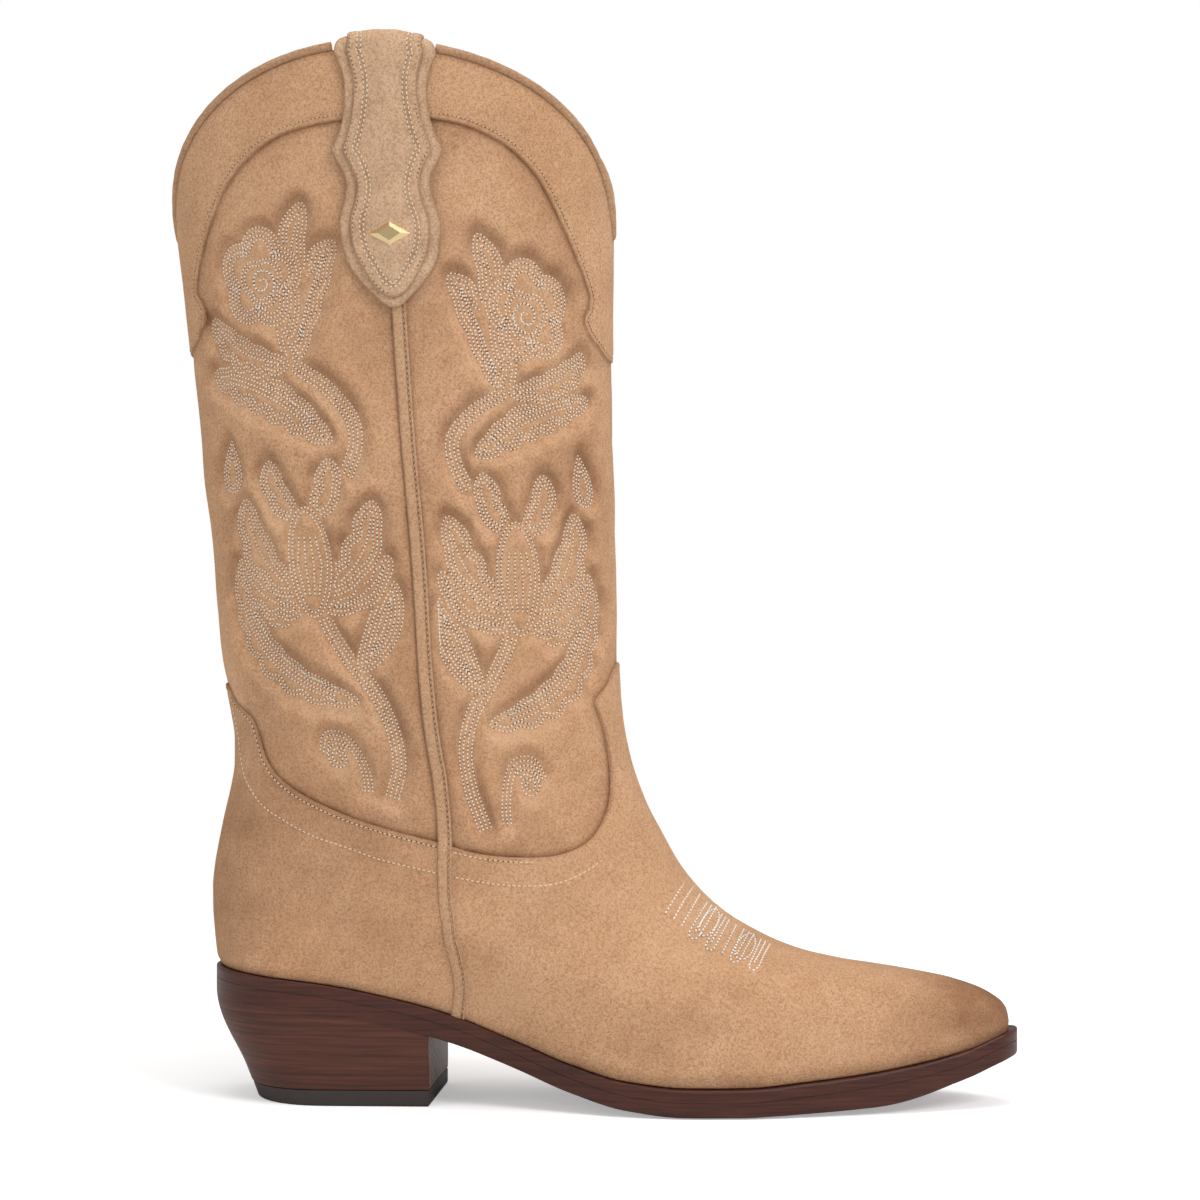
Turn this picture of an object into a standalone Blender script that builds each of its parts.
"""Cowboy boot, right foot: a suede pull-on boot with a stacked-look heel.

Frame: origin on the ground under the middle of the heel, +X to the toe,
-Y the outer (lateral) side, +Z up.  All lengths below are millimetres and are
turned into metres when the meshes are made.

The upper is lofted through SECTIONS: closed rings that start on the feather
line (where the upper meets the sole) and climb, tilting, over the instep and
up the leg.  wall(theta, s) is a point of that reference wall: theta runs round
the boot in degrees (0 = front, 90 = inner side, 180 = back, -90 = outer side)
and s is the section number.  Every upper piece is a patch of the wall at its
own offset, so the layers lie on each other with a small gap.  A side is -1 for
the outer (lateral) half and 1 for the inner (medial) half.
"""
import math

import bmesh
import bpy
import numpy as np
from mathutils import Matrix, Vector

MM = 0.001

# ---------------------------------------------------------------- shared dimensions
GAP = 0.3                    # clearance between neighbouring pieces
FRONT, BACK = 0.0, 180.0     # wall angles of the two centre lines

# upper layers: thicknesses, and wall offsets of their inner faces
SHELL_T = 1.3                # suede of the shaft
LINING_T = 0.9
LINING_GAP = 0.7             # padding space between suede and lining
COLLAR_T = 1.2
STRAP_T = 1.1
OVERLAY_T = 1.0              # second layer on the pull strap
VAMP_T = 1.05                # vamp and heel foxing
COUNTER_T = 1.0
TOE_PUFF_T = 0.8
LINING_OFFSET = -SHELL_T - LINING_GAP - LINING_T
COLLAR_OFFSET = GAP
STRAP_OFFSET = COLLAR_OFFSET + COLLAR_T + GAP
OVERLAY_OFFSET = STRAP_OFFSET + STRAP_T + GAP
VAMP_OFFSET = 0.75           # vamp and heel foxing lie over the shaft's suede
STIFFENER_OFFSET = -1.1      # counter stiffener and toe puff

# distances that the pieces keep from the side seam
SEAM_INSET = 0.2
PIPING_INSET = 3.0
COUNTER_INSET = 6.0

# section numbers of lower and upper edges
VAMP_START = 0.12            # lower edge of vamp and heel foxing
FOOT_START = 0.15            # lower edge of the other pieces of the foot
FOOT_LINING_END = 9.0
SHAFT_LINING_START = 9.15
COUNTER_END = 7.0
TOE_PUFF_END = 4.5
SHAFT_TUCK = 1.2             # how far the shaft reaches in under vamp and foxing
TOE_PUFF_BACK_X = 186.0

# ---------------------------------------------------------------- measured tables
# reference wall: back x, back z, front x, front z, half width, share of the
# elliptic plan, share of the feather line's sag
SECTIONS = np.array((
    (-41.5, 47.0, 235.5, 23.7, 38.0, 0.00, 1.00),
    (-42.4, 53.0, 234.0, 32.5, 38.5, 0.22, 0.85),
    (-43.2, 60.0, 228.5, 37.2, 38.0, 0.45, 0.70),
    (-43.8, 67.0, 218.0, 41.4, 37.0, 0.68, 0.52),
    (-43.9, 74.0, 203.0, 44.3, 35.8, 0.88, 0.38),
    (-43.2, 81.0, 184.0, 46.8, 34.5, 1.00, 0.26),
    (-42.0, 88.0, 163.0, 51.3, 33.4, 1.00, 0.17),
    (-40.6, 95.0, 145.0, 59.2, 32.8, 1.00, 0.10),
    (-39.0, 102.5, 131.0, 68.8, 32.9, 1.00, 0.05),
    (-37.6, 110.0, 121.5, 79.3, 33.5, 1.00, 0.02),
    (-36.7, 118.0, 113.5, 92.8, 34.6, 1.00, 0.00),
    (-36.7, 127.0, 107.3, 104.8, 36.0, 1.00, 0.00),
    (-38.0, 136.5, 102.3, 119.5, 37.0, 1.00, 0.00),
    (-39.6, 144.5, 99.4, 134.5, 37.8, 1.00, 0.00),
    (-41.4, 153.0, 98.3, 150.0, 38.6, 1.00, 0.00),
    (-44.9, 190.0, 98.0, 190.0, 40.5, 1.00, 0.00),
    (-49.6, 233.0, 96.9, 232.0, 41.6, 1.00, 0.00),
    (-53.6, 276.0, 96.3, 275.0, 42.2, 1.00, 0.00),
    (-57.6, 309.0, 96.9, 310.0, 42.8, 1.00, 0.00),
    (-61.5, 340.0, 98.5, 340.0, 43.2, 1.00, 0.00),
    (-64.0, 374.0, 99.5, 374.0, 43.6, 1.00, 0.00)))
LAST = len(SECTIONS) - 1
SECTION_NUMBERS = np.arange(LAST + 1, dtype=float)
FEATHER_BACK_X, FEATHER_BACK_Z, FEATHER_TOE_X, FEATHER_TOE_Z, FEATHER_HALF_W = (
    SECTIONS[0, :5].tolist())
BACK_ROUND, TOE_ROUND = 26.0, 7.0    # lengths over which the plan rounds off

# feather line: x, height, half width on the outer side, on the inner side
FEATHER = np.array((
    (-42, 47.0, 26.0, 26.0), (-20, 44.6, 27.0, 27.0), (0, 42.2, 26.6, 27.0),
    (25, 37.2, 25.2, 25.0), (45, 31.6, 24.6, 21.5), (65, 24.0, 26.5, 20.5),
    (85, 16.6, 31.5, 24.5), (105, 11.6, 36.6, 31.5), (125, 9.8, 38.6, 36.0),
    (145, 9.8, 37.0, 36.5), (165, 11.3, 32.2, 33.0), (185, 13.3, 26.0, 27.5),
    (205, 16.4, 19.2, 20.6), (222, 20.2, 12.6, 13.4), (236, 23.8, 7.0, 7.2),
    (242, 25.3, 5.0, 5.0)))

# upper edges of vamp and foxing: angle from the front or back centre line, section
VAMP_SEAM = (
    (0, 14.15), (13, 13.97), (22, 13.45), (25, 12.3), (29, 11.2), (36.6, 10.46),
    (47.6, 9.68), (59.3, 9.16), (68, 8.91), (77, 8.76), (90, 8.78))
FOXING_SEAM = (
    (0, 13.3), (18, 13.0), (27.4, 12.2), (33, 11.8), (35, 11.05), (37, 10.5),
    (41.4, 10.0), (48.3, 9.57), (57, 9.25), (66, 9.02), (75.5, 8.88), (88, 8.80),
    (95, 8.78))
# lower edges of the collars: angle from the front or back centre line, height
COLLAR_FRONT = (
    (0, 259.0), (13, 261.5), (22, 267.0), (26, 277.0), (30.5, 294.0), (38, 308.0),
    (45.3, 320.5), (52.8, 329.0), (59.6, 334.0), (67.2, 338.0), (75.3, 340.0),
    (90, 340.5))
COLLAR_BACK = (
    (0, 262.0), (22.8, 267.0), (29.6, 276.0), (31.0, 290.0), (33.5, 299.0),
    (41.7, 311.4), (48.2, 320.5), (58.7, 330.7), (68.3, 336.5), (81.8, 339.6),
    (96, 340.5))
# side seam: section, angle from the front
SIDE_SEAM = (
    (0, 111.8), (3.6, 107.3), (8.9, 90.1), (11.3, 85.4), (14, 83.7), (17, 85.3),
    (20, 86.0))

# ---------------------------------------------------------------- clean scene
for old in list(bpy.data.objects):
    bpy.data.objects.remove(old, do_unlink=True)
BOOT = bpy.data.collections.new("cowboy_boot")
CUTTERS = bpy.data.collections.new("cutters")
bpy.context.scene.collection.children.link(BOOT)
bpy.context.scene.collection.children.link(CUTTERS)

# ---------------------------------------------------------------- materials
MATERIALS = {}


def add_material(name, colour, roughness, metallic=0.0):
    mat = bpy.data.materials.new(name)
    mat.use_nodes = True
    bsdf = mat.node_tree.nodes["Principled BSDF"]
    bsdf.inputs["Base Color"].default_value = (*colour, 1.0)
    bsdf.inputs["Roughness"].default_value = roughness
    bsdf.inputs["Metallic"].default_value = metallic
    mat.diffuse_color = (*colour, 1.0)
    MATERIALS[name] = mat


add_material("suede", colour=(0.53, 0.32, 0.18), roughness=0.95)
add_material("suede_strap", colour=(0.57, 0.37, 0.22), roughness=0.95)
add_material("piping", colour=(0.42, 0.25, 0.14), roughness=0.9)
add_material("lining", colour=(0.62, 0.48, 0.34), roughness=0.85)
add_material("sole", colour=(0.085, 0.04, 0.032), roughness=0.45)
add_material("heel", colour=(0.10, 0.045, 0.032), roughness=0.5)
add_material("rubber", colour=(0.05, 0.045, 0.04), roughness=0.75)
add_material("board", colour=(0.45, 0.33, 0.2), roughness=0.9)
add_material("cork", colour=(0.4, 0.24, 0.12), roughness=0.95)
add_material("steel", colour=(0.55, 0.55, 0.57), roughness=0.35, metallic=1.0)
add_material("gold", colour=(0.8, 0.62, 0.32), roughness=0.25, metallic=1.0)


# ---------------------------------------------------------------- interpolation
def smooth(xs, ys, x):
    """Monotone cubic through (xs, ys) at x, held constant past the ends."""
    steps = np.diff(xs)
    slopes = np.diff(ys) / steps
    tangents = np.zeros(len(xs))
    tangents[0], tangents[-1] = slopes[0], slopes[-1]
    for i in range(1, len(xs) - 1):
        if slopes[i - 1] * slopes[i] > 0:
            before = 2 * steps[i] + steps[i - 1]
            after = steps[i] + 2 * steps[i - 1]
            tangents[i] = (before + after) / (before / slopes[i - 1] + after / slopes[i])
    x = min(max(x, xs[0]), xs[-1])
    k = min(max(int(np.searchsorted(xs, x, side="right")) - 1, 0), len(xs) - 2)
    t = (x - xs[k]) / steps[k]
    return float((2 * t**3 - 3 * t**2 + 1) * ys[k]
                 + (t**3 - 2 * t**2 + t) * steps[k] * tangents[k]
                 + (3 * t**2 - 2 * t**3) * ys[k + 1]
                 + (t**3 - t**2) * steps[k] * tangents[k + 1])


def look_up(pairs, x):
    columns = np.array(pairs, float)
    return smooth(columns[:, 0], columns[:, 1], x)


def round_end(distance, length):
    """Share of the full width at a distance from an end rounded off over length."""
    t = min(max(distance / length, 0.0), 1.0)
    return math.sqrt(1 - (1 - t) ** 2)


# ---------------------------------------------------------------- the wall
section_cache = {}


def section(s):
    key = round(s, 6)
    if key not in section_cache:
        section_cache[key] = [smooth(SECTION_NUMBERS, column, s) for column in SECTIONS.T]
    return section_cache[key]


def feather_z(x):
    return smooth(FEATHER[:, 0], FEATHER[:, 1], x)


def feather_w(x, side):
    return smooth(FEATHER[:, 0], FEATHER[:, 2 if side < 0 else 3], x)


def wall(theta, s):
    s = min(max(s, 0.0), float(LAST))
    back_x, back_z, front_x, front_z, half_w, ellipse, sag = section(s)
    cosine, sine = math.cos(math.radians(theta)), math.sin(math.radians(theta))
    side = -1.0 if sine < 0 else 1.0
    forward = (cosine + 1) / 2       # 0 at the back, 1 at the front
    # the feather line point below this one gives the plan and the sag
    foot_x = FEATHER_BACK_X + (FEATHER_TOE_X - FEATHER_BACK_X) * forward
    cap = (round_end(foot_x - FEATHER_BACK_X, BACK_ROUND)
           * round_end(FEATHER_TOE_X - foot_x, TOE_ROUND))
    foot_w = feather_w(foot_x, side) * cap * half_w / FEATHER_HALF_W
    straight_z = FEATHER_BACK_Z + (FEATHER_TOE_Z - FEATHER_BACK_Z) * forward
    return Vector((
        (back_x + front_x) / 2 + (front_x - back_x) / 2 * cosine,
        side * ((1 - ellipse) * foot_w + ellipse * half_w * abs(sine)),
        back_z + (front_z - back_z) * forward + sag * (feather_z(foot_x) - straight_z)))


def around(theta, s):
    """Step along the wall for one degree of theta."""
    return wall(theta + 0.5, s) - wall(theta - 0.5, s)


def outward(theta, s):
    s = min(max(s, 0.02), LAST - 0.02)
    up = wall(theta, s + 0.02) - wall(theta, s - 0.02)
    return around(theta, s).cross(up).normalized()


def on_wall(theta, s, offset):
    return wall(theta, s) + outward(theta, s) * offset


def degrees_for(length, theta, s):
    return length / around(theta, s).length


def at_height(theta, z):
    """Section number at which the wall reaches height z, by bisection."""
    low, high = 0.0, float(LAST)
    for _ in range(32):
        middle = (low + high) / 2
        if wall(theta, middle).z < z:
            low = middle
        else:
            high = middle
    return (low + high) / 2


TOPLINE_DIP = 303.0          # height of the topline at front and back
TOPLINE_RISE = 61.5          # how much higher it is at the sides
TOPLINE_POWERS = (0.36, 0.47)    # shape of the front dip and of the back dip
TOPLINE_SOFTEN = 0.004       # rounds the bottom of the dips


def topline(theta):
    """Height of the topline."""
    sine = math.sin(math.radians(theta))
    power = TOPLINE_POWERS[0 if math.cos(math.radians(theta)) > 0 else 1]
    low = TOPLINE_SOFTEN ** power
    high = (1 + TOPLINE_SOFTEN) ** power
    share = ((sine * sine + TOPLINE_SOFTEN) ** power - low) / (high - low)
    return TOPLINE_DIP + TOPLINE_RISE * share


# ---------------------------------------------------------------- builders
def put(name, mesh, mat, collection=BOOT):
    obj = bpy.data.objects.new(name, mesh)
    collection.objects.link(obj)
    if mat:
        mesh.materials.append(MATERIALS[mat])
    return obj


def solid(name, mat, points, faces):
    mesh = bpy.data.meshes.new(name)
    mesh.from_pydata([Vector(p) * MM for p in points], [], faces)
    mesh.update()
    return put(name, mesh, mat)


def sheet(name, mat, columns, thickness):
    """Thickened surface.  columns: lists of points on the inner face, running up,
    ordered round +theta."""
    rows = len(columns[0])
    faces = []
    for c in range(len(columns) - 1):
        for r in range(rows - 1):
            here = c * rows + r
            beside = here + rows
            faces.append((here, beside, beside + 1, here + 1))
    obj = solid(name, mat, [p for column in columns for p in column], faces)
    mod = obj.modifiers.new("thickness", "SOLIDIFY")
    mod.thickness = thickness * MM
    mod.offset = 1.0
    for poly in obj.data.polygons:
        poly.use_smooth = True
    obj.data.set_sharp_from_angle(angle=math.radians(40))
    return obj


def block(name, mat, levels, flip=False):
    """Closed solid.  levels: layers from the bottom up, each a list of equally long
    rows of points; flip turns the faces over."""
    across = len(levels[0][0])
    layer = len(levels[0]) * across
    top = layer * (len(levels) - 1)
    row_starts = range(0, layer - across, across)
    faces = []
    for start in row_starts:         # underside and upper side
        for a in range(start, start + across - 1):
            b, c, d = a + 1, a + across, a + across + 1
            faces += [(a, b, d, c), (top + a, top + c, top + d, top + b)]
    for low in range(0, top, layer):
        high = low + layer
        for a in row_starts:         # the two long sides
            c = a + across
            b, d = c - 1, c + across - 1
            faces += [(low + a, low + c, high + c, high + a),
                      (low + b, high + b, high + d, low + d)]
        for a in range(across - 1):  # the two ends
            e = layer - across + a
            faces += [(low + a, high + a, high + a + 1, low + a + 1),
                      (low + e, low + e + 1, high + e + 1, high + e)]
    if flip:
        faces = [face[::-1] for face in faces]
    points = [p for level in levels for row in level for p in row]
    return solid(name, mat, points, faces)


def add_boolean(target, tool, prefix, operation):
    tool.hide_render = True
    tool.display_type = "WIRE"
    mod = target.modifiers.new(prefix + tool.name, "BOOLEAN")
    mod.operation = operation
    mod.solver = "EXACT"
    mod.object = tool


def cut(target, tool):
    add_boolean(target, tool, "cut_", "DIFFERENCE")


def join(target, tool):
    add_boolean(target, tool, "join_", "UNION")


# ---------------------------------------------------------------- wall patches
def patch_angle(centre, across, s, inset):
    """Angle of a column at across (-1..1) of a patch whose edges stay inset short of
    the side seams."""
    seam = look_up(SIDE_SEAM, s)
    return centre + across * (abs(centre - seam) - degrees_for(inset, seam, s))


def patch(name, mat, centre, low, high, offset, thickness, inset=SEAM_INSET, cols=20, rows=8,
          crowd=1.0):
    """Patch round the FRONT or BACK centre line.  low and high give the section of the
    lower and upper edge for an angle from that line and a theta; crowd > 1 draws the
    rows together towards the lower edge."""
    def edge(limit, across, s):
        for _ in range(6):           # the edge angle depends a little on the section
            theta = patch_angle(centre, across, s, inset)
            s = limit(abs(theta - centre), theta)
        return s

    columns = []
    for c in range(cols + 1):
        across = -1 + 2 * c / cols
        top, bottom = edge(high, across, 12.0), edge(low, across, 4.0)
        column = []
        for r in range(rows + 1):
            s = bottom + (top - bottom) * (r / rows) ** crowd
            column.append(on_wall(patch_angle(centre, across, s, inset), s, offset))
        columns.append(column)
    sheet(name, mat, columns, thickness)


def constant(s):
    return lambda angle, theta: s


def seam_edge(pairs, shift=0.0):
    return lambda angle, theta: look_up(pairs, angle) + shift


def height_edge(pairs):
    return lambda angle, theta: at_height(theta, look_up(pairs, angle))


def topline_edge(angle, theta):
    return at_height(theta, topline(theta) - GAP)


# ---------------------------------------------------------------- shaft
for label, centre, foot_seam, collar in (("front", FRONT, VAMP_SEAM, COLLAR_FRONT),
                                         ("back", BACK, FOXING_SEAM, COLLAR_BACK)):
    patch("shaft_" + label, "suede", centre, seam_edge(foot_seam, -SHAFT_TUCK), topline_edge,
          -SHELL_T, SHELL_T, crowd=1.5)
    patch("shaft_lining_" + label, "lining", centre, constant(SHAFT_LINING_START),
          topline_edge, LINING_OFFSET, LINING_T, crowd=1.5)
    patch("collar_" + label, "suede", centre, height_edge(collar), topline_edge,
          COLLAR_OFFSET, COLLAR_T, rows=3)

# ---------------------------------------------------------------- foot upper
patch("vamp", "suede", FRONT, constant(VAMP_START), seam_edge(VAMP_SEAM), VAMP_OFFSET, VAMP_T,
      inset=PIPING_INSET, cols=24, rows=12, crowd=1.5)
patch("vamp_lining", "lining", FRONT, constant(FOOT_START), constant(FOOT_LINING_END),
      LINING_OFFSET, LINING_T, cols=24, rows=9, crowd=1.4)
patch("heel_foxing", "suede", BACK, constant(VAMP_START), seam_edge(FOXING_SEAM),
      VAMP_OFFSET, VAMP_T, inset=PIPING_INSET)
patch("counter_lining", "lining", BACK, constant(FOOT_START), constant(FOOT_LINING_END),
      LINING_OFFSET, LINING_T, rows=5)
patch("counter_stiffener", "board", BACK, constant(FOOT_START), constant(COUNTER_END),
      STIFFENER_OFFSET, COUNTER_T, inset=COUNTER_INSET, rows=4)


def toe_puff(cols=12, rows=5):
    """Stiffener over the toe, ending in a straight line across the foot."""
    columns = []
    for c in range(cols + 1):
        across = -1 + 2 * c / cols
        column = []
        for r in range(rows + 1):
            s = FOOT_START + (TOE_PUFF_END - FOOT_START) * r / rows
            back_x, _, front_x = section(s)[:3]
            middle_x, half_length = (back_x + front_x) / 2, (front_x - back_x) / 2
            edge = math.degrees(math.acos((TOE_PUFF_BACK_X - middle_x) / half_length))
            column.append(on_wall(across * edge, s, STIFFENER_OFFSET))
        columns.append(column)
    sheet("toe_puff", "board", columns, TOE_PUFF_T)


toe_puff()

# ---------------------------------------------------------------- side seam piping
PIPING_W = 5.2
PIPING_T = 2.2
PIPING_TOP = (85.0, 274.6)   # wall angle and height of its upper end


def side_piping(name, side, rows=22):
    top = at_height(side * PIPING_TOP[0], PIPING_TOP[1])
    columns = []
    for shift in (-PIPING_W / 2, 0.0, PIPING_W / 2):
        column = []
        for r in range(rows + 1):
            s = FOOT_START + (top - FOOT_START) * r / rows
            theta = side * look_up(SIDE_SEAM, s)
            column.append(on_wall(theta + degrees_for(shift, theta, s), s, GAP))
        columns.append(column)
    sheet(name, "piping", columns, PIPING_T)


side_piping("side_piping_lateral", -1)
side_piping("side_piping_medial", 1)

# ---------------------------------------------------------------- topline bead
BEAD_R = 1.3
BEAD_CLEARANCE = 0.4         # between the topline and the bead
BEAD_OFFSET = 0.1            # wall offset of the bead's centre line


def bead(name, start, end, steps=26):
    """Round bead above the topline between two wall angles."""
    def edge(theta):
        return on_wall(theta, at_height(theta, topline(theta)), BEAD_OFFSET)

    curve = bpy.data.curves.new(name, "CURVE")
    curve.dimensions = "3D"
    curve.bevel_depth = BEAD_R * MM
    curve.bevel_resolution = 1
    curve.use_fill_caps = True
    spline = curve.splines.new("POLY")
    spline.points.add(steps)
    for i in range(steps + 1):
        theta = start + (end - start) * i / steps
        along = edge(theta + 1.5) - edge(theta - 1.5)
        up = outward(theta, at_height(theta, topline(theta))).cross(along).normalized()
        centre = edge(theta) + up * (BEAD_R + BEAD_CLEARANCE)
        spline.points[i].co = (*(centre * MM), 1.0)
    put(name, curve, "piping")


bead("topline_bead_front", FRONT - 70.5, FRONT + 70.5)
bead("topline_bead_back", BACK - 76.5, BACK + 76.5)

# ---------------------------------------------------------------- pull straps
# outlines on the outside of the boot: height, half width
STRAP_OUTLINE = (
    (275.6, 1.2), (278.3, 4.7), (282.8, 9.4), (288.6, 13.7), (294.0, 16.0),
    (300.0, 17.0), (305.0, 17.0), (311.5, 15.3), (317.0, 14.2), (321.5, 14.9),
    (326.0, 17.5), (329.3, 19.0), (335.0, 16.3), (341.0, 14.7), (347.0, 14.0),
    (354.0, 14.2), (359.0, 15.7), (363.0, 17.4))
OVERLAY_OUTLINE = (
    (279.0, 1.8), (282.0, 5.6), (287.7, 8.9), (293.9, 12.0), (300.4, 13.2),
    (306.0, 13.0), (313.0, 10.9), (318.3, 10.5), (325.0, 12.8), (329.0, 14.9),
    (334.0, 13.3), (339.0, 11.9), (346.5, 10.8), (353.0, 10.6), (358.5, 11.7),
    (363.0, 12.9))
STRAP_CENTRE = 86.4          # wall angle of the centre line
STRAP_PEAK = topline(90.0) + 0.6     # height at which the loop turns over
STRAP_INNER_DROP = 5.0       # from the peak to the first row below it inside
DRAPE_START = 335.0          # height where the strap begins to follow the topline


def strap(name, side, outline, thickness, offset, inner_offset, inner_half_w, inner_low,
          cols=4, turn_steps=6):
    """Strap that climbs the outside, loops over the topline and hangs down inside.
    offset and inner_offset are the wall offsets of its inner face."""
    rows = [(z, half_w, offset, 0.0) for z, half_w in outline]
    radius = (offset - inner_offset) / 2
    top_w = outline[-1][1]
    for k in range(turn_steps + 1):
        turned = math.pi * k / turn_steps
        rows.append((STRAP_PEAK, top_w + (inner_half_w - top_w) * k / turn_steps,
                     offset - radius * (1 - math.cos(turned)), radius * math.sin(turned)))
    for z in np.linspace(STRAP_PEAK - STRAP_INNER_DROP, inner_low, 3):
        rows.append((float(z), inner_half_w, inner_offset, 0.0))

    centre = side * STRAP_CENTRE
    columns = []
    for c in range(cols + 1):
        across = -1 + 2 * c / cols
        column = []
        for z, half_w, row_offset, lift in rows:
            theta = centre + degrees_for(across * half_w, centre, at_height(centre, z))
            # the loop drapes over the rounded topline
            share = min(max((z - DRAPE_START) / (STRAP_PEAK - DRAPE_START), 0.0), 1.0)
            drape = (topline(theta) - topline(centre)) * share * share * (3 - 2 * share)
            s = at_height(theta, z + drape)
            column.append(on_wall(theta, s, row_offset) + Vector((0, 0, lift)))
        columns.append(column)
    return sheet(name, "suede_strap", columns, thickness)


STRAP_INNER_OFFSET = LINING_OFFSET - GAP
straps = {}
for label, side in (("lateral", -1), ("medial", 1)):
    straps[label] = (
        strap("pull_strap_" + label, side, STRAP_OUTLINE, STRAP_T, STRAP_OFFSET,
              STRAP_INNER_OFFSET, inner_half_w=13.6, inner_low=334.0),
        strap("strap_overlay_" + label, side, OVERLAY_OUTLINE, OVERLAY_T, OVERLAY_OFFSET,
              STRAP_INNER_OFFSET - STRAP_T - GAP, inner_half_w=12.6, inner_low=336.0))

# ---------------------------------------------------------------- sole plates
SOLE_T = 5.5
EDGE_DROP = 9.8              # feather line to the outsole underside
INSOLE_T = 2.0
SOCK_T = 1.0
INSOLE_INSET = 4.0           # insole edge inside the feather line
SOCK_INSET = 4.6
INSOLE_SPLICE_X = 118.0
SPLICE_HALF_GAP = 0.2
SPLICE_CLEAR = 2.0           # no station closer than this to a splice
SOLE_BACK_X, SOLE_TOE_X = -44.0, 239.5
# how far the sole stands out past the feather line: x, overhang
OVERHANG = ((-42.0, 2.2), (20.0, 2.2), (60.0, 2.2), (110.0, 3.6), (200.0, 3.6), (236.0, 3.4))
# x stations along the sole, closer where the waist bends down to the ball
STATIONS = (
    -9.0, 2.0, 13.0, 25.0, 35.0, 45.0, 55.0, 65.0, 75.0, 85.0, 95.0, 105.0, 115.0,
    125.0, 145.0, 155.0, 165.0, 175.0, 185.0, 195.0, 205.0, 213.5, 222.0)


def plan_ends(inset):
    if inset > 0:
        return FEATHER_BACK_X + inset, FEATHER_TOE_X - inset
    return SOLE_BACK_X, SOLE_TOE_X


def plan_half_width(x, side, inset):
    """Half width of the feather outline moved in by inset (out when negative)."""
    back_x, toe_x = plan_ends(inset)
    return ((feather_w(x, side) - inset) * round_end(x - back_x, BACK_ROUND - inset * 0.6)
            * round_end(toe_x - x, TOE_ROUND))


def inset_width(inset):
    return lambda x, side: plan_half_width(x, side, inset)


def sole_width(x, side):
    return plan_half_width(x, side, -look_up(OVERHANG, x))


def rounded_stations(back_x, toe_x):
    """Stations that crowd towards the two rounded ends."""
    xs = [back_x + d for d in (0.35, 2.0, 5.5, 11.0, 18.0, 26.0)]
    xs += [x for x in STATIONS if xs[-1] + 4 < x < toe_x - 9]
    return xs + [toe_x - d for d in (7.0, 4.5, 2.2, 0.8, 0.25)]


def plate(name, mat, xs, width, top, thickness):
    """A plate that follows the feather line; width(x, side) is its half width and top
    the height of its upper face over the feather line."""
    levels = []
    for rise in (top - thickness, top):
        rows = []
        for x in xs:
            outer, inner, z = width(x, -1), width(x, 1), feather_z(x) + rise
            rows.append(((x, -outer, z), (x, 0.5 * (inner - outer), z), (x, inner, z)))
        levels.append(rows)
    return block(name, mat, levels)


outsole = plate("outsole", "sole", rounded_stations(SOLE_BACK_X, SOLE_TOE_X), sole_width,
                SOLE_T - EDGE_DROP, SOLE_T)
plate("sock_liner", "lining", rounded_stations(*plan_ends(SOCK_INSET)),
      inset_width(SOCK_INSET), GAP + INSOLE_T + GAP + SOCK_T, SOCK_T)
insole_xs = rounded_stations(*plan_ends(INSOLE_INSET))
insole_back = plate("insole_backpart", "board",
                    [x for x in insole_xs if x < INSOLE_SPLICE_X - SPLICE_CLEAR]
                    + [INSOLE_SPLICE_X - SPLICE_HALF_GAP],
                    inset_width(INSOLE_INSET), GAP + INSOLE_T, INSOLE_T)
plate("insole_forepart", "board",
      [INSOLE_SPLICE_X + SPLICE_HALF_GAP]
      + [x for x in insole_xs if x > INSOLE_SPLICE_X + SPLICE_CLEAR],
      inset_width(INSOLE_INSET), GAP + INSOLE_T, INSOLE_T)
plate("ball_filler", "cork", np.linspace(119.0, 206.0, 11),
      lambda x, side: feather_w(x, side) - 10.0, top=-0.1, thickness=3.9)
shank = plate("shank", "steel", np.linspace(-12.0, 92.0, 14),
              lambda x, side: 6.5, top=-1.2, thickness=1.4)

# ---------------------------------------------------------------- welt and heel rand
WELT_T = 4.1
WELT_IN = 8.0                # how far they reach in under the upper
WELT_SPLICE_X = 86.0         # where welt and heel rand meet


def rim(name, toe):
    """U-shaped strip on the sole's edge: the welt round the toe, or the rand round the
    heel.  Outer edge flush with the outsole, inner edge WELT_IN inside the feather."""
    xs = rounded_stations(SOLE_BACK_X, SOLE_TOE_X)
    if toe:
        tip, inner_tip = SOLE_TOE_X, plan_ends(WELT_IN)[1]
        end_x = WELT_SPLICE_X + SPLICE_HALF_GAP
        xs = [x for x in reversed(xs) if x > end_x + SPLICE_CLEAR]
    else:
        tip, inner_tip = SOLE_BACK_X, plan_ends(WELT_IN)[0]
        end_x = WELT_SPLICE_X - SPLICE_HALF_GAP
        xs = [x for x in xs if x < end_x - SPLICE_CLEAR]
    halves = []
    for side in (-1, 1):
        half = []
        for x in [tip] + xs + [end_x]:
            inner_x = inner_tip + (end_x - inner_tip) * (x - tip) / (end_x - tip)
            half.append(((x, side * sole_width(x, side)),
                         (inner_x, side * plan_half_width(inner_x, side, WELT_IN))))
        halves.append(half)
    path = halves[0][::-1] + halves[1][1:]
    levels = [[[(x, y, feather_z(x) + rise) for x, y in pair] for pair in path]
              for rise in (-WELT_T, 0.0)]
    block(name, "sole", levels, flip=not toe)


rim("welt", toe=True)
rim("heel_rand", toe=False)

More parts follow.
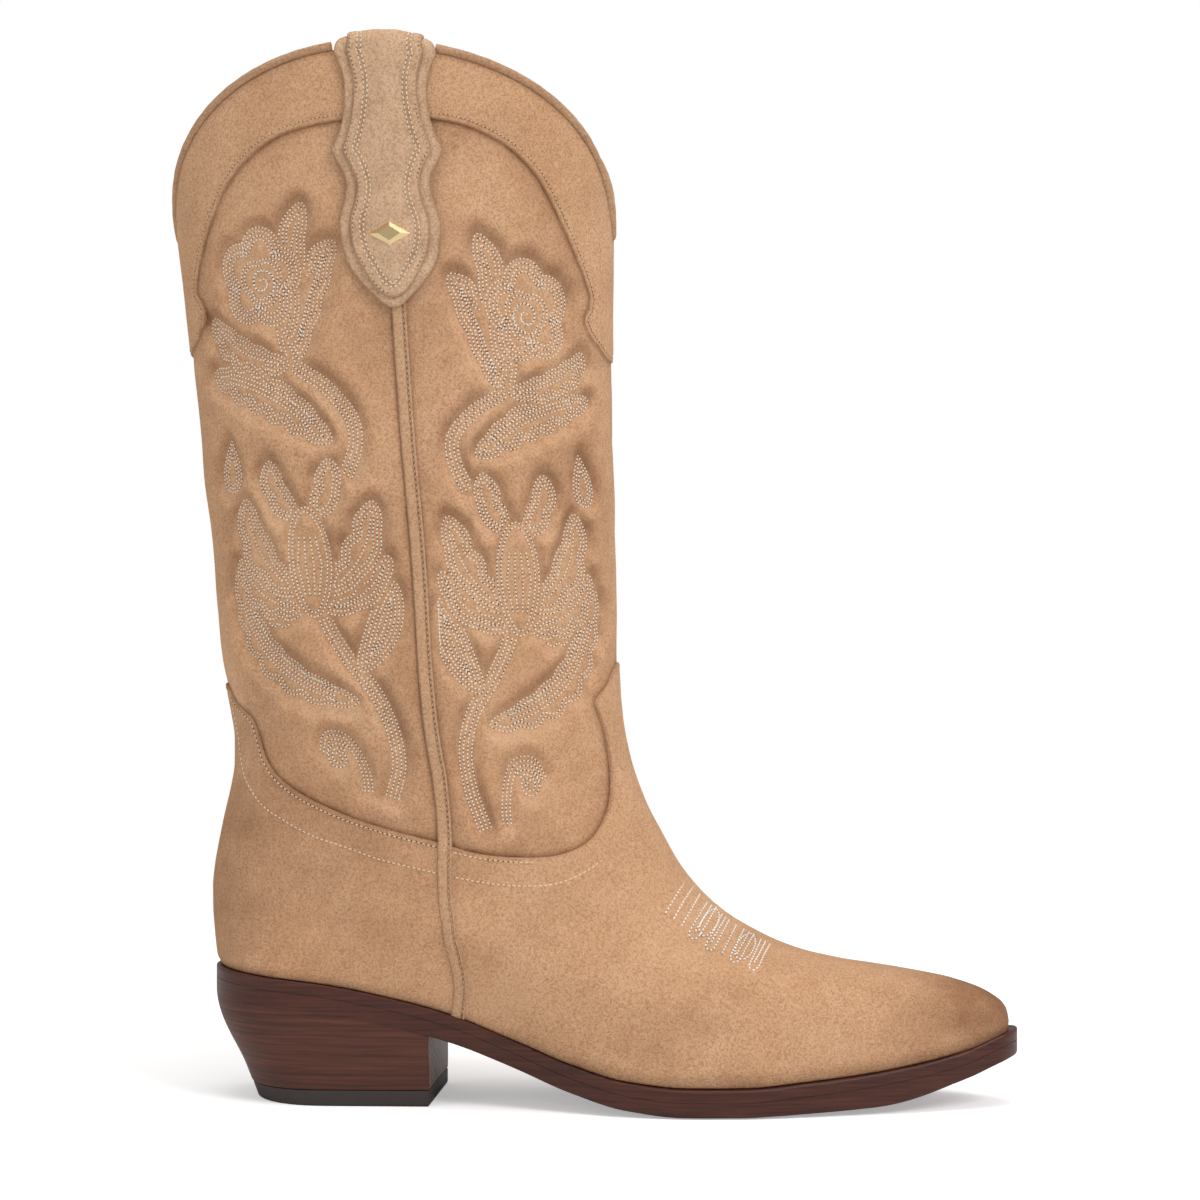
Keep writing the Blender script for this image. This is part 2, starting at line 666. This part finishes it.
# ---------------------------------------------------------------- heel
TOP_PIECE_T = 5.6
BREAST_X = 35.5              # front face of the heel
BREAST_TAPER = 0.055         # share of width lost from x = 0 to the breast
HEEL_HALF_W = (26.0, 28.2)   # half width of the heel at the ground, at the seat
HEEL_BACK_X = (-31.8, -43.9)  # back of the heel at the ground, at the seat
HEEL_BACK_POWER = 1.15       # curve of the back edge between those two
HEEL_STATIONS = (0.3, 2.0, 5.5, 11.0, 18.0, 26.0, 40.0, 58.0)    # from the back
TOP_PIECE_SHARE = 0.14       # heel shape share at the top piece's upper face
BLOCK_START_SHARE = 0.16     # heel shape share at the block's lower face


def heel_rows(shape, z_of):
    """Outline pairs from back to breast; shape runs 0..1 from ground to seat."""
    back = HEEL_BACK_X[0] + (HEEL_BACK_X[1] - HEEL_BACK_X[0]) * shape ** HEEL_BACK_POWER
    full_w = HEEL_HALF_W[0] + (HEEL_HALF_W[1] - HEEL_HALF_W[0]) * shape
    rows = []
    for x in [back + d for d in HEEL_STATIONS] + [BREAST_X]:
        half_w = full_w * round_end(x - back, BACK_ROUND)
        if x > 0:
            half_w *= 1 - BREAST_TAPER * x / BREAST_X
        rows.append(((x, -half_w, z_of(x)), (x, half_w, z_of(x))))
    return rows


def block_level(share):
    """Height over x, a share of the way from the top piece to the heel seat."""
    low = TOP_PIECE_T + GAP
    return lambda x: low + (feather_z(x) - (EDGE_DROP + GAP) - low) * share


heel_block = block("heel_block", "heel",
                   [heel_rows(BLOCK_START_SHARE + (1 - BLOCK_START_SHARE) * share,
                              block_level(share))
                    for share in (0.0, 0.3, 0.6, 0.85, 1.0)])
block("top_piece", "rubber", [heel_rows(0.0, lambda x: 0.0),
                              heel_rows(TOP_PIECE_SHARE, lambda x: TOP_PIECE_T)])

# ---------------------------------------------------------------- heel fasteners
# sink: head below the insole's upper face; tip_z, seat_z: lower ends of the fastener
# and of the recess for its head; sides: facets of every cylinder
SCREW = dict(sink=0.7, head_t=1.1, head_r=3.4, tip_z=13.0, radius=1.9,
             seat_z=30.0, seat_r=4.0, sides=12)
NAIL = dict(sink=0.8, head_t=0.9, head_r=1.9, tip_z=19.0, radius=1.0,
            seat_z=25.0, seat_r=2.4, sides=8)
BORE_CLEARANCE = 0.4         # bore radius over the fastener's
BORE_BELOW_TIP = 0.6
CUTTER_TOP_Z = 60.0
SCREW_AT = (0.0, 0.0)
NAILS_AT = ((-24.0, -11.0), (-24.0, 11.0), (20.0, -11.0), (20.0, 11.0))


def rod(name, place, low, high, radius, sides, mat=None, collection=CUTTERS):
    x, y = place
    bpy.ops.mesh.primitive_cylinder_add(
        vertices=sides, radius=radius * MM, depth=(high - low) * MM,
        location=(x * MM, y * MM, (low + high) / 2 * MM))
    obj = bpy.context.object
    obj.name = obj.data.name = name
    for owner in list(obj.users_collection):
        owner.objects.unlink(obj)
    collection.objects.link(obj)
    if mat:
        obj.data.materials.append(MATERIALS[mat])
    return obj


def fasten(kind, suffix, place, size, bored):
    """A headed screw or nail, its head recess in the insole and its bore."""
    sides, tip_z = size["sides"], size["tip_z"]
    name = "heel_" + kind + suffix
    head_z = feather_z(place[0]) + GAP + INSOLE_T - size["sink"]
    body = rod(name, place, tip_z, head_z - 0.4 * size["head_t"], size["radius"], sides,
               "steel", BOOT)
    join(body, rod(name + "_head", place, head_z - size["head_t"], head_z, size["head_r"],
                   sides))
    cut(insole_back, rod(kind + "_seat" + suffix, place, size["seat_z"], CUTTER_TOP_Z,
                         size["seat_r"], sides))
    bore = rod(kind + "_bore" + suffix, place, tip_z - BORE_BELOW_TIP, CUTTER_TOP_Z,
               size["radius"] + BORE_CLEARANCE, sides)
    for piece in bored:
        cut(piece, bore)


fasten("screw", "", SCREW_AT, SCREW, (shank, outsole, heel_block))
for number, nail_at in enumerate(NAILS_AT, 1):
    fasten("nail", "_%d" % number, nail_at, NAIL, (outsole, heel_block))

# ---------------------------------------------------------------- strap stud
STUD_Z = 300.5
STUD_HALF = (7.0, 4.6)       # half length along the boot, half height
STUD_T = 1.8
WASHER_HALF = (6.0, 3.4)
WASHER_T = 0.5
WASHER_OFFSET = 0.75
POST_SHIFT = 2.6             # posts to either side of the stud's centre
POST_R, HOLE_R = 0.6, 0.95
POST_LOW, HOLE_LOW = 0.5, 0.2    # wall offsets of their inner ends
POST_REACH = 0.8             # posts into the stud, holes past the overlay
OVERLAY_TOP = OVERLAY_OFFSET + OVERLAY_T


def stud_frame():
    """Point on the wall under the stud, outward normal and rotation of its axes."""
    theta = -STRAP_CENTRE
    s = at_height(theta, STUD_Z)
    normal = outward(theta, s)
    along = around(theta, s).normalized()
    up = normal.cross(along).normalized()
    turn = Matrix((along, up, normal)).transposed().to_4x4()
    return wall(theta, s), normal, turn


STUD_POINT, STUD_NORMAL, STUD_TURN = stud_frame()


def placed(offset):
    return Matrix.Translation((STUD_POINT + STUD_NORMAL * offset) * MM) @ STUD_TURN


def cone_mesh(name, segments, radius1, radius2, depth):
    bm = bmesh.new()
    bmesh.ops.create_cone(bm, cap_ends=True, segments=segments, radius1=radius1,
                          radius2=radius2, depth=depth)
    mesh = bpy.data.meshes.new(name)
    bm.to_mesh(mesh)
    bm.free()
    return mesh


def lozenge(name, half, height, taper, offset, mat):
    """A cone frustum of four sides, stretched to a lozenge."""
    mesh = cone_mesh(name, 4, 1.0, taper, 1.0)
    for v in mesh.vertices:
        v.co = Vector((v.co.x * half[0], v.co.y * half[1], (v.co.z + 0.5) * height)) * MM
    obj = put(name, mesh, mat)
    obj.matrix_world = placed(offset)
    return obj


def post(name, shift, low, high, radius):
    mesh = cone_mesh(name, 8, radius * MM, radius * MM, (high - low) * MM)
    obj = put(name, mesh, None, CUTTERS)
    obj.matrix_world = placed((low + high) / 2) @ Matrix.Translation((shift * MM, 0, 0))
    return obj


stud = lozenge("strap_stud", STUD_HALF, STUD_T, taper=0.55, offset=OVERLAY_TOP + GAP,
               mat="gold")
washer = lozenge("stud_washer", WASHER_HALF, WASHER_T, taper=0.95, offset=WASHER_OFFSET,
                 mat="steel")
for number, shift in enumerate((-POST_SHIFT, POST_SHIFT), 1):
    join(stud, post("stud_post_%d" % number, shift, POST_LOW, OVERLAY_TOP + GAP + POST_REACH,
                    POST_R))
    hole = post("stud_hole_%d" % number, shift, HOLE_LOW, OVERLAY_TOP + POST_REACH, HOLE_R)
    for piece in (*straps["lateral"], washer):
        cut(piece, hole)
